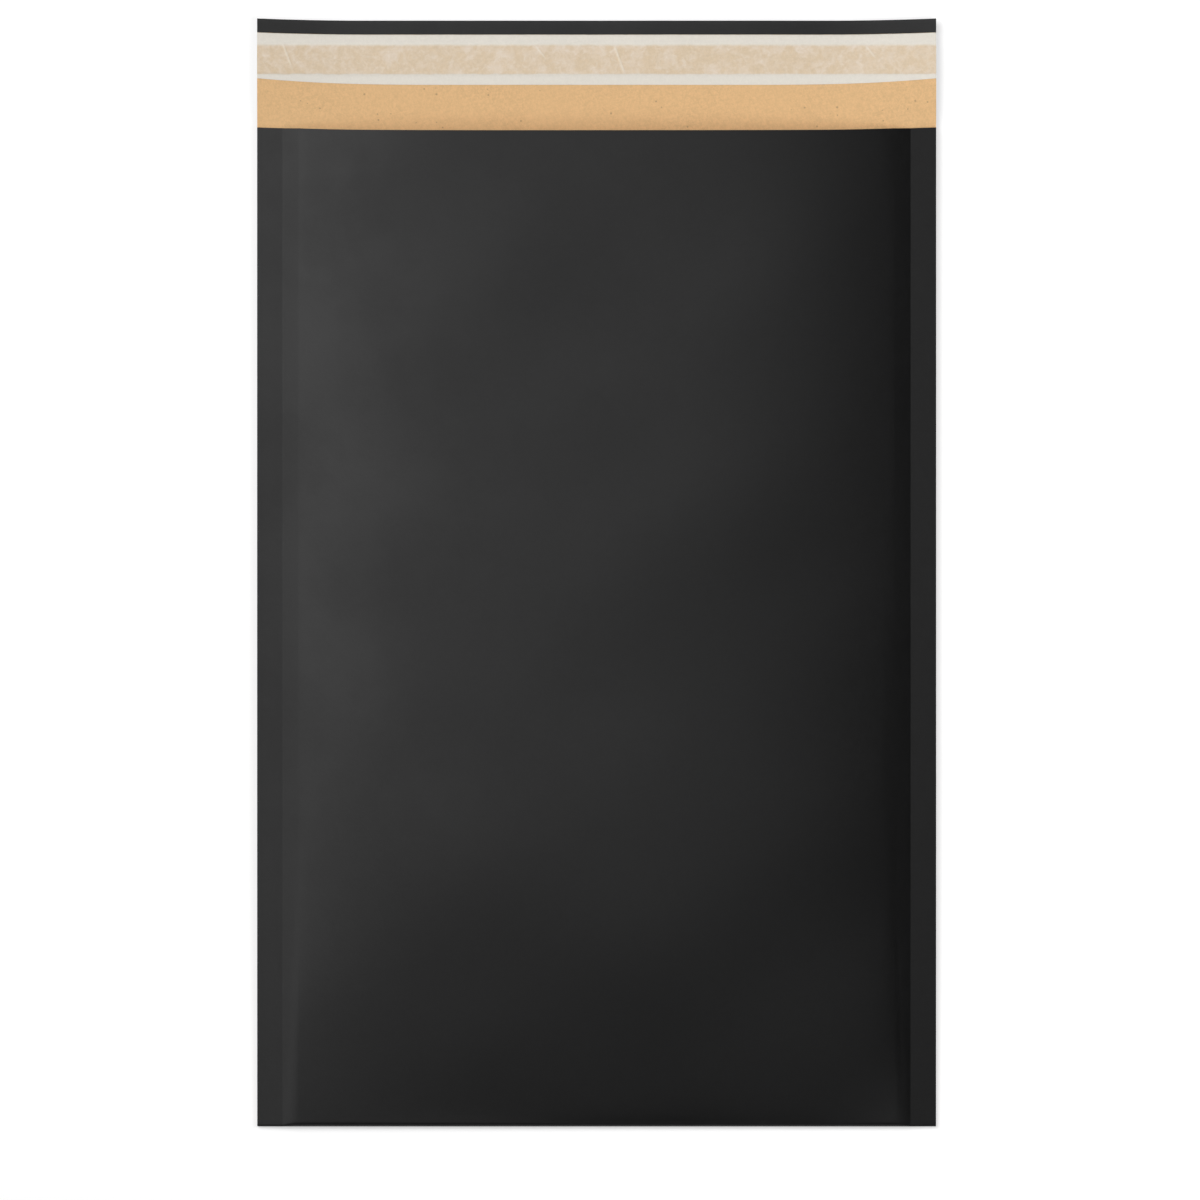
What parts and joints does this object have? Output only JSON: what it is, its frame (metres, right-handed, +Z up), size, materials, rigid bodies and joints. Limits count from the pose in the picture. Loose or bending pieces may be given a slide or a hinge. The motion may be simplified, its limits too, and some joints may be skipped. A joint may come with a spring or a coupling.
{
  "type": "padded envelope",
  "caption": "Black padded paper envelope, open and empty, with a kraft lining, flat side seams and a peel-and-seal flap.",
  "frame": {"origin": "centre of the bounding box's bottom face, on the surface that the envelope lies on", "axes": "+Z up out of the front of the pocket, +Y from the bottom fold to the end of the flap, +X to the right"},
  "size_m": [0.25, 0.408, 0.0136],
  "materials": {
    "black_paper": "black kraft paper with a slight sheen",
    "padding_paper": "soft fibrous paper padding",
    "kraft_paper": "matt natural kraft with fine fibres",
    "adhesive": "clear pressure-sensitive glue over kraft",
    "release_paper": "smooth pale siliconised release paper"
  },
  "bodies": {
    "root": {"outer_sheet": "black_paper", "padding": "padding_paper", "lining": "kraft_paper", "adhesive_strip": "adhesive", "release_liner": "release_paper"}
  },
  "joints": []
}
